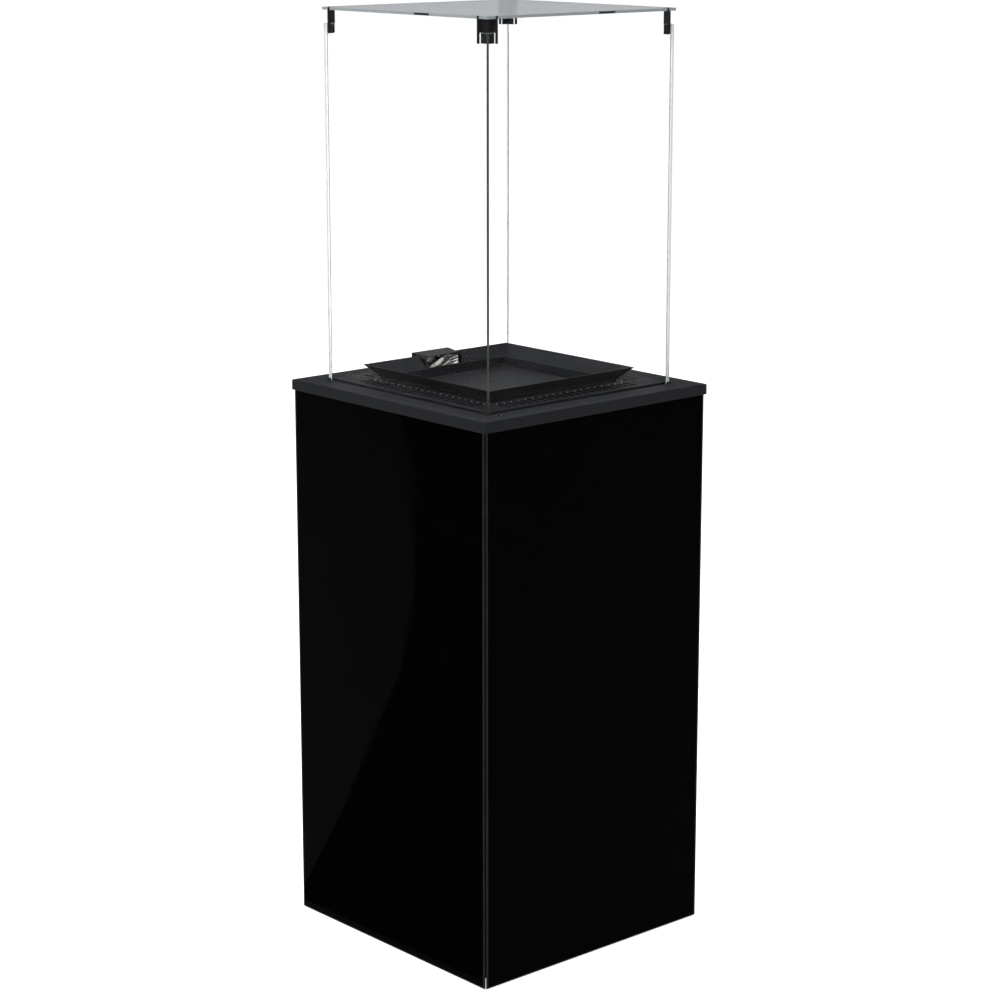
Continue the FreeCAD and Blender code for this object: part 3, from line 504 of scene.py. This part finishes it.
def grown_mesh(tree, values, finish, points=((0, 0, 0),)):
    """Runs a geometry tree once and returns its result as a plain mesh."""
    seed = bare_object("seed", points)
    modifier = seed.modifiers.new("shape", "NODES")
    modifier.node_group = tree
    given = {**values, "Finish": finish}
    for socket in tree.interface.items_tree:
        if socket.item_type == "SOCKET" and socket.in_out == "INPUT" and socket.name in given:
            modifier[socket.identifier] = given[socket.name]
    seed.update_tag()
    bpy.context.view_layer.update()
    graph = bpy.context.evaluated_depsgraph_get()
    mesh = bpy.data.meshes.new_from_object(seed.evaluated_get(graph), depsgraph=graph)
    seed.modifiers.remove(modifier)
    bpy.data.objects.remove(seed)
    return mesh


def piece(name, meshes, body, finish, smooth=None):
    """Joins meshes, each with its place matrix, into one finished piece on a body."""
    work = bmesh.new()
    for mesh, place in meshes:
        moved = mesh.copy()
        moved.transform(place)
        work.from_mesh(moved)
        bpy.data.meshes.remove(moved)
    bmesh.ops.recalc_face_normals(work, faces=work.faces)
    joined = bpy.data.meshes.new(name)
    work.to_mesh(joined)
    work.free()
    joined.materials.clear()
    joined.materials.append(finish)
    for face in joined.polygons:
        face.material_index = 0
    if smooth:
        joined.set_sharp_from_angle(angle=math.radians(smooth))
        for face in joined.polygons:
            face.use_smooth = True
    item = bpy.data.objects.new(name, joined)
    bpy.context.scene.collection.objects.link(item)
    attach(item, body)
    return item


def at(x, y, z, turn=None):
    """Place matrix in millimetres, after an optional turn."""
    return Matrix.Translation(Vector((x, y, z)) * MM) @ (turn or Matrix.Identity(4))


FACING_DOOR = Matrix.Rotation(-QUARTER_TURN, 4, "X")
UPRIGHT_ON_RAIL = FACING_DOOR @ Matrix.Rotation(math.pi, 4, "Z")
FOUR_SIDES = [Matrix.Rotation(QUARTER_TURN * i, 4, "Z") for i in range(4)]


def repeat(tree, points, shape, turn=None):
    """Puts a shape on every point, turned about the upright axis by an angle if one is given."""
    spots = put(tree, "GeometryNodeInstanceOnPoints", Points=points, Instance=shape)
    if turn is not None:
        angles = put(tree, "ShaderNodeCombineXYZ", Z=turn)
        tree.links.new(angles.outputs[0], spots.inputs["Rotation"])
    return spots.outputs[0]


def hub_points(tree, count):
    """Several points on one spot, for shapes that fan out round it."""
    return put(tree, "GeometryNodeMeshLine", Count=count, Offset=(0, 0, 0)).outputs[0]


def point_number(tree):
    """Which point it is, counted from 0."""
    return put(tree, "GeometryNodeInputIndex").outputs[0]


def make_ribs_round():
    """Round ribs that stand parallel to an axis, evenly round it."""
    tree, given, close = shape_tree("ribs_round", [
        ("Count", "count"), ("Ring Radius", "length"), ("Rib Radius", "length"),
        ("Rib Length", "length")])
    ring = put(tree, "GeometryNodeMeshCircle", Vertices=given["Count"],
               Radius=given["Ring Radius"])
    rib = put(tree, "GeometryNodeMeshCylinder", Vertices=8, Radius=given["Rib Radius"],
              Depth=given["Rib Length"])
    return close(repeat(tree, ring.outputs[0], rib.outputs["Mesh"]))


def make_rings_along():
    """Tapered rings one behind another along an axis."""
    tree, given, close = shape_tree("rings_along", [
        ("Count", "count"), ("Step", "offset"), ("Near Radius", "length"),
        ("Far Radius", "length"), ("Ring Depth", "length")])
    line = put(tree, "GeometryNodeMeshLine", Count=given["Count"], Offset=given["Step"])
    ring = put(tree, "GeometryNodeMeshCone", Vertices=32, Radius_Top=given["Far Radius"],
               Radius_Bottom=given["Near Radius"], Depth=given["Ring Depth"])
    return close(repeat(tree, line.outputs[0], ring.outputs["Mesh"]))


def make_screw_heads():
    """Domed screw heads with a hexagon socket, one on each given point."""
    tree, given, close = shape_tree("screw_heads", [
        ("Head Radius", "length"), ("Head Height", "length"), ("Socket Radius", "length")])
    dome_taper, socket_lift = 0.78, 0.9
    dome_radius = maths(tree, "MULTIPLY", given["Head Radius"], dome_taper)
    drum = put(tree, "GeometryNodeMeshCone", Vertices=24, Radius_Bottom=given["Head Radius"],
               Radius_Top=dome_radius, Depth=given["Head Height"])
    key = put(tree, "GeometryNodeMeshCylinder", Vertices=6, Radius=given["Socket Radius"],
              Depth=given["Head Height"])
    lift = put(tree, "ShaderNodeCombineXYZ",
               Z=maths(tree, "MULTIPLY", given["Head Height"], socket_lift))
    raised = put(tree, "GeometryNodeTransform", Geometry=key.outputs["Mesh"],
                 Translation=lift.outputs[0])
    head = put(tree, "GeometryNodeMeshBoolean", {"operation": "DIFFERENCE"})
    tree.links.new(drum.outputs["Mesh"], head.inputs["Mesh 1"])
    tree.links.new(raised.outputs[0], head.inputs["Mesh 2"])
    return close(repeat(tree, given["Geometry"], head.outputs["Mesh"]))


def make_lips_in_rows():
    """A row of small upright lips, repeated on the four sides of a square."""
    tree, given, close = shape_tree("lips_in_rows", [
        ("Count", "count"), ("Start", "offset"), ("Step", "offset"), ("Lip Size", "offset")])
    line = put(tree, "GeometryNodeMeshLine", Count=given["Count"], Start_Location=given["Start"],
               Offset=given["Step"])
    lip = put(tree, "GeometryNodeMeshCube", Size=given["Lip Size"])
    row = repeat(tree, line.outputs[0], lip.outputs["Mesh"])
    turn = maths(tree, "MULTIPLY", point_number(tree), QUARTER_TURN)
    return close(repeat(tree, hub_points(tree, 4), row, turn))


def make_fan_of_ticks():
    """Dial ticks: short flat bars fanned round a centre."""
    tree, given, close = shape_tree("fan_of_ticks", [
        ("Count", "count"), ("First Angle", "length"), ("Angle Step", "length"),
        ("Tick Middle", "offset"), ("Tick Size", "offset")])
    bar = put(tree, "GeometryNodeMeshCube", Size=given["Tick Size"])
    moved = put(tree, "GeometryNodeTransform", Geometry=bar.outputs["Mesh"],
                Translation=given["Tick Middle"])
    swing = maths(tree, "MULTIPLY", point_number(tree), given["Angle Step"])
    angle = maths(tree, "ADD", swing, given["First Angle"])
    return close(repeat(tree, hub_points(tree, given["Count"]), moved.outputs[0], angle))


RIBS_ROUND, RINGS_ALONG = make_ribs_round(), make_rings_along()
SCREW_HEADS, LIPS_IN_ROWS, FAN_OF_TICKS = (make_screw_heads(), make_lips_in_rows(),
                                           make_fan_of_ticks())


def turned_ring(profile, segments=48):
    """Closed ring turned from a closed profile of (radius, height) points, in millimetres."""
    corners, faces = [], []
    size = len(profile)
    for i in range(segments):
        angle = 2 * math.pi * i / segments
        across, along = math.cos(angle), math.sin(angle)
        corners += [Vector((radius * across, radius * along, height)) * MM
                    for radius, height in profile]
        here, there = i * size, (i + 1) % segments * size
        faces += [(here + k, there + k, there + (k + 1) % size, here + (k + 1) % size)
                  for k in range(size)]
    return bare_mesh("ring", corners, faces)


def prism(outline, low, high):
    """Upright prism over a closed outline of (x, y) points, in millimetres."""
    count = len(outline)
    corners = [Vector((x, y, z)) * MM for z in (low, high) for x, y in outline]
    sides = [(i, (i + 1) % count, (i + 1) % count + count, i + count) for i in range(count)]
    ends = [tuple(range(count))[::-1], tuple(range(count, 2 * count))]
    return bare_mesh("prism", corners, sides + ends)


# ---------------------------------------------------------------- fittings
KNOB_HIGH = 884
RAIL_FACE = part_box("control_box")[0].y / MM


def node_box(name):
    """Lowest and highest corners of a CAD node, in millimetres."""
    low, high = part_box(name)
    return low / MM, high / MM


def in_metres(*sizes):
    """A vector from sizes in millimetres."""
    return Vector(sizes) * MM


def make_knob_parts():
    """Fluted grip and pointer on the valve knob, and the ticks round it on the rail."""
    plastic = FINISHES["black_plastic"]
    grip_middle, knob_face, rail_skin = 12.2, 25.02, 0.14
    fluting = grown_mesh(RIBS_ROUND, {"Count": 26, "Ring Radius": 15.7 * MM,
                                      "Rib Radius": 1.2 * MM, "Rib Length": 11.5 * MM}, plastic)
    piece("knob_fluting", [(fluting, at(0, RAIL_FACE + grip_middle, KNOB_HIGH, FACING_DOOR))],
          "knob", plastic, smooth=40)
    outline = [(-0.7, 4), (0, 3.2), (0.7, 4), (0.7, 12.4), (0, 13.2), (-0.7, 12.4)]
    pointer = prism(outline, 0, 0.25)
    piece("knob_pointer", [(pointer, at(0, RAIL_FACE + knob_face, KNOB_HIGH, UPRIGHT_ON_RAIL))],
          "knob", MARK_WHITE)
    ticks = grown_mesh(FAN_OF_TICKS, {"Count": 9, "First Angle": math.radians(-120),
                                      "Angle Step": math.radians(30),
                                      "Tick Middle": in_metres(0, 22.5, 0),
                                      "Tick Size": in_metres(0.9, 4.5, 0.24)}, MARK_WHITE)
    piece("dial_ticks", [(ticks, at(0, RAIL_FACE + rail_skin, KNOB_HIGH, UPRIGHT_ON_RAIL))],
          "root", MARK_WHITE)


def make_rail_screws():
    """Screw heads at the ends of the control rail and above the valve."""
    zinc = FINISHES["zinc_steel"]
    end_margin, row_offset, valve_side, seat = 14, 30, 50, 0.02
    reach = node_box("control_rail")[1].x - end_margin
    spots = [in_metres(x, y, 0) for x in (-reach, reach) for y in (-row_offset, row_offset)]
    spots += [in_metres(x, -row_offset, 0) for x in (-valve_side, valve_side)]
    heads = grown_mesh(SCREW_HEADS, {"Head Radius": 4 * MM, "Head Height": 2.4 * MM,
                                     "Socket Radius": 1.8 * MM}, zinc, spots)
    piece("rail_screws", [(heads, at(0, RAIL_FACE + seat, KNOB_HIGH, FACING_DOOR))], "root",
          zinc)


def make_nipple_barbs():
    """Tapered barbs that grip a hose on the nipple."""
    brass = FINISHES["brass"]
    low, high = node_box("hose_nipple")
    middle = (low + high) / 2
    barb_depth = 3
    barbs = grown_mesh(RINGS_ALONG, {"Count": 4, "Step": in_metres(0, 0, 3.6),
                                     "Near Radius": 4.4 * MM, "Far Radius": 5.3 * MM,
                                     "Ring Depth": barb_depth * MM}, brass)
    piece("nipple_barbs", [(barbs, at(middle.x, middle.y, low.z + barb_depth / 2))], "root",
          brass, smooth=40)


def make_foot_ribs():
    """Moulded grip ribs round each rubber foot."""
    rubber = FINISHES["rubber"]
    low, high = node_box("rubber_feet")
    tall, foot_radius, plain_ends = high.z - low.z, 20, 5
    ribs = grown_mesh(RIBS_ROUND, {"Count": 30, "Ring Radius": 19.4 * MM, "Rib Radius": 1.1 * MM,
                                   "Rib Length": (tall - plain_ends) * MM}, rubber)
    inset = high.x - foot_radius
    piece("foot_ribs", [(ribs, at(x * inset, y * inset, low.z + tall / 2))
                        for x in (-1, 1) for y in (-1, 1)], "root", rubber, smooth=40)


def make_slot_lips():
    """Small lips at the inner end of each air slot in the deck, pale grey as a painted highlight
    that shows bright dots at the slot ends.
    """
    count, row_length, slot_end, lip_width, lip_drop = 19, 282, 155.2, 3, 1.2
    top = node_box("deck_plate")[1].z - lip_drop
    lips = grown_mesh(LIPS_IN_ROWS, {
        "Count": count, "Start": in_metres(-slot_end, -row_length / 2, top),
        "Step": in_metres(0, row_length / (count - 1), 0),
        "Lip Size": in_metres(0.3, lip_width, 3.2)}, SLOT_END_HIGHLIGHT)
    piece("slot_lips", [(lips, Matrix.Identity(4))], "root", SLOT_END_HIGHLIGHT)


def make_insulator_ribs():
    """Ribs along the spark electrode's insulator, which leans with the pilot group."""
    ceramic = FINISHES["ceramic"]
    lean = Matrix.Rotation(math.radians(62), 4, "Y")
    bracket, first_rib = Vector((-4, 149, 969)), Vector((-5, 0, -6))
    ribs = grown_mesh(RINGS_ALONG, {"Count": 5, "Step": in_metres(0, 0, 3),
                                    "Near Radius": 3.55 * MM, "Far Radius": 3.1 * MM,
                                    "Ring Depth": 1.8 * MM}, ceramic)
    piece("insulator_ribs", [(ribs, at(*(bracket + lean @ first_rib), lean))], "root",
          ceramic, smooth=50)


def make_pilot_reflector():
    """Crimped bright sheet that closes the back of the pilot hood, behind the leaning rods."""
    across, up, sheet = 60, 16, 0.4
    low, high, half, back = 961.9, 981.5, 38.0, 171.2
    bend_start, lean_forward = 18.5, 1.15
    fold, fold_pitch, fold_slant = 0.9, 0.75, 1.6
    ripple, ripple_pitch = 0.25, 2.1
    corners, faces = [], []
    for layer in (0, 1):
        for j in range(up + 1):
            for i in range(across + 1):
                x, z = -half + 2 * half * i / across, low + (high - low) * j / up
                crimp = fold * math.sin((x - fold_slant * z) * fold_pitch)
                crimp += ripple * math.sin(x * ripple_pitch + z)
                depth = back - lean_forward * max(0.0, x - bend_start)
                corners.append(in_metres(x, depth + crimp + layer * sheet, z))
    row, half_count = across + 1, (across + 1) * (up + 1)
    for j in range(up):
        for i in range(across):
            a = j * row + i
            faces.append((a, a + 1, a + row + 1, a + row))
            b = a + half_count
            faces.append((b + row, b + row + 1, b + 1, b))
    rim = list(range(across)) + [across + row * j for j in range(up)]
    rim += [row * up + across - i for i in range(across)] + [row * (up - j) for j in range(up)]
    for k, here in enumerate(rim):
        there = rim[(k + 1) % len(rim)]
        faces.append((there, here, here + half_count, there + half_count))
    piece("pilot_reflector", [(bare_mesh("reflector", corners, faces), Matrix.Identity(4))],
          "root", HEATED_STEEL, smooth=60)


def make_eye_bezel():
    """Moulded ring round the receiver eye in the cap."""
    low, high = node_box("eye_lens")
    middle = (low + high) / 2
    top = node_box("cap_plate")[1].z
    bezel = turned_ring([(3.5, -0.3), (3.5, 0.25), (3.9, 0.6), (4.6, 0.6), (5.1, 0.3),
                         (5.1, 0.02), (3.62, 0.02)])
    piece("eye_bezel", [(bezel, at(middle.x, middle.y, top))], "root",
          FINISHES["black_plastic"], smooth=40)


def make_pane_seals():
    """Slim sealing beads in the four inner corners between the panes."""
    inner, bead, gap = 200.96, 0.9, 0.3
    outline = [(inner, inner), (inner - bead, inner)]
    for degrees in (18, 36, 54, 72):
        angle = math.radians(degrees)
        outline.append((inner - bead * math.cos(angle), inner - bead * math.sin(angle)))
    outline.append((inner, inner - bead))
    foot, head = node_box("deck_plate")[1].z + gap, node_box("clip_front_left")[0].z - gap
    seal = prism(outline, foot, head)
    piece("pane_seals", [(seal, turn) for turn in FOUR_SIDES], "root", SEAL, smooth=50)


def make_lid_pads():
    """Short dark buffer strips on the lid's four edges."""
    low, high = node_box("lid_glass")
    edge, thick, eased, ease_length = low.x, 0.5, 0.2, 1
    along, half_length, half_height = -50, 18, 1.7
    start, end = along - half_length, along + half_length
    middle = (low.z + high.z) / 2
    strip = prism([(edge - thick, start + ease_length), (edge - thick, end - ease_length),
                   (edge - eased, end), (edge, end), (edge, start), (edge - eased, start)],
                  middle - half_height, middle + half_height)
    piece("lid_pads", [(strip, turn) for turn in FOUR_SIDES], "lid", FINISHES["rubber"])


make_knob_parts()
make_rail_screws()
make_nipple_barbs()
make_foot_ribs()
make_slot_lips()
make_insulator_ribs()
make_pilot_reflector()
make_eye_bezel()
make_pane_seals()
make_lid_pads()


# ---------------------------------------------------------------- studio
def grey(tree, tone):
    """A neutral colour of the given tone."""
    return put(tree, "ShaderNodeCombineColor", Red=tone, Green=tone, Blue=tone).outputs[0]


def make_floor():
    """Pale paper that runs out of sight and glows a little, except to the light it scatters."""
    half, below_feet, glow = 60, 0.0005, 0.75
    material, tree, shader, where = surface("floor_paper", Specular_IOR_Level=0.1,
                                            Emission_Color=(1, 1, 1, 1))
    tone = spread(tree, noise(tree, where, 3.0, 3.0), 0.3, 0.7, 0.96, 1.0)
    matt = spread(tree, noise(tree, where, 60.0), 0.3, 0.7, 0.85, 0.95)
    lay(tree, shader, grey(tree, tone), matt)
    path = put(tree, "ShaderNodeLightPath")
    lift = maths(tree, "SUBTRACT", 1.0, path.outputs["Is Diffuse Ray"])
    feed(tree, shader.inputs["Emission Strength"], maths(tree, "MULTIPLY", lift, glow))
    corners = [(-half, -half, 0), (half, -half, 0), (half, half, 0), (-half, half, 0)]
    floor = bare_object("floor", corners, [(0, 1, 2, 3)])
    floor.location.z = CAD_BOX[0].z - below_feet
    floor.data.materials.append(material)


def make_flag():
    """A dark card on the floor, seen by gloss alone: it shapes the left panel's reflection."""
    material, tree, shader, where = surface("flag_cloth", Specular_IOR_Level=0.0, Roughness=1.0)
    weave = spread(tree, noise(tree, where, 400.0), 0.3, 0.7, 0.0, 0.01)
    feed(tree, shader.inputs["Base Color"], grey(tree, weave))
    outline = [(-0.27, 0.29), (-0.45, 0.45), (-0.66, 0.64), (-0.95, 0.92), (-1.29, 1.24),
               (-1.8, 1.8), (-2.4, 2.53), (-3.2, 3.56), (-6.0, 7.4), (-7.5, 4.0), (-5.0, -1.5),
               (-0.27, -0.35)]
    corners = [(x, y, CAD_BOX[0].z) for x, y in outline]
    flag = bare_object("flag", corners, [tuple(range(len(outline)))])
    flag.data.materials.append(material)
    flag.visible_camera = flag.visible_diffuse = False
    flag.visible_transmission = flag.visible_shadow = False


def make_world():
    """White to the camera and through the glass, softer where gloss reflects it."""
    world = bpy.data.worlds.new("studio")
    bpy.context.scene.world = world
    world.use_nodes = True
    tree = world.node_tree
    tree.nodes.clear()
    ambient_level, gloss_low, gloss_high = 0.3, 0.42, 0.75
    path = put(tree, "ShaderNodeLightPath").outputs
    bright = put(tree, "ShaderNodeBackground", Color=(1, 1, 1, 1), Strength=1.0)
    direction = put(tree, "ShaderNodeTexCoord").outputs["Generated"]
    height = put(tree, "ShaderNodeSeparateXYZ", Vector=direction)
    gloss = spread(tree, height.outputs["Z"], 0.2, 0.7, gloss_low, gloss_high)
    around = maths(tree, "MULTIPLY", gloss, path["Is Glossy Ray"])
    not_gloss = maths(tree, "SUBTRACT", 1.0, path["Is Glossy Ray"])
    still = maths(tree, "MULTIPLY", not_gloss, ambient_level)
    ambient = put(tree, "ShaderNodeBackground", Color=(0.95, 0.975, 1, 1),
                  Strength=maths(tree, "ADD", around, still))
    seen = maths(tree, "MAXIMUM", path["Is Camera Ray"], path["Is Transmission Ray"])
    mixed = put(tree, "ShaderNodeMixShader", Fac=seen)
    tree.links.new(ambient.outputs[0], mixed.inputs[1])
    tree.links.new(bright.outputs[0], mixed.inputs[2])
    out = put(tree, "ShaderNodeOutputWorld")
    tree.links.new(mixed.outputs[0], out.inputs["Surface"])


def soft_light(name, place, size, power, in_gloss=True):
    """A round soft box aimed at the middle of the heater."""
    light = bpy.data.lights.new(name, "AREA")
    light.shape, light.size, light.energy = "DISK", size, power
    item = bpy.data.objects.new(name, light)
    item.location = place
    item.rotation_euler = (MIDDLE - Vector(place)).to_track_quat("-Z", "Y").to_euler()
    item.visible_glossy = in_gloss
    bpy.context.scene.collection.objects.link(item)


def make_camera():
    """A little above the lid, looking down at the corner between the front and left panels."""
    data = bpy.data.cameras.new("camera")
    data.sensor_width, data.lens = 36.0, 95.378
    data.shift_x, data.shift_y = 0.0, -0.015
    item = bpy.data.objects.new("camera", data)
    item.location = (-2.9377, -3.3194, 1.7971)
    item.rotation_euler = (math.radians(77.0525), 0, math.radians(-41.5444))
    bpy.context.scene.collection.objects.link(item)
    bpy.context.scene.camera = item


make_floor()
make_flag()
make_world()
make_camera()
MIDDLE = Vector((0, 0, 0.8))
soft_light("key", (-4.2, -1.6, 4.4), size=3.0, power=200)
soft_light("overhead", (0.0, 0.2, 5.0), size=3.0, power=120, in_gloss=False)
soft_light("fill", (3.2, -4.0, 2.6), size=2.6, power=25)
soft_light("rear", (-1.4, 4.6, 3.0), size=2.6, power=60, in_gloss=False)
bpy.context.scene.view_settings.view_transform = "Standard"
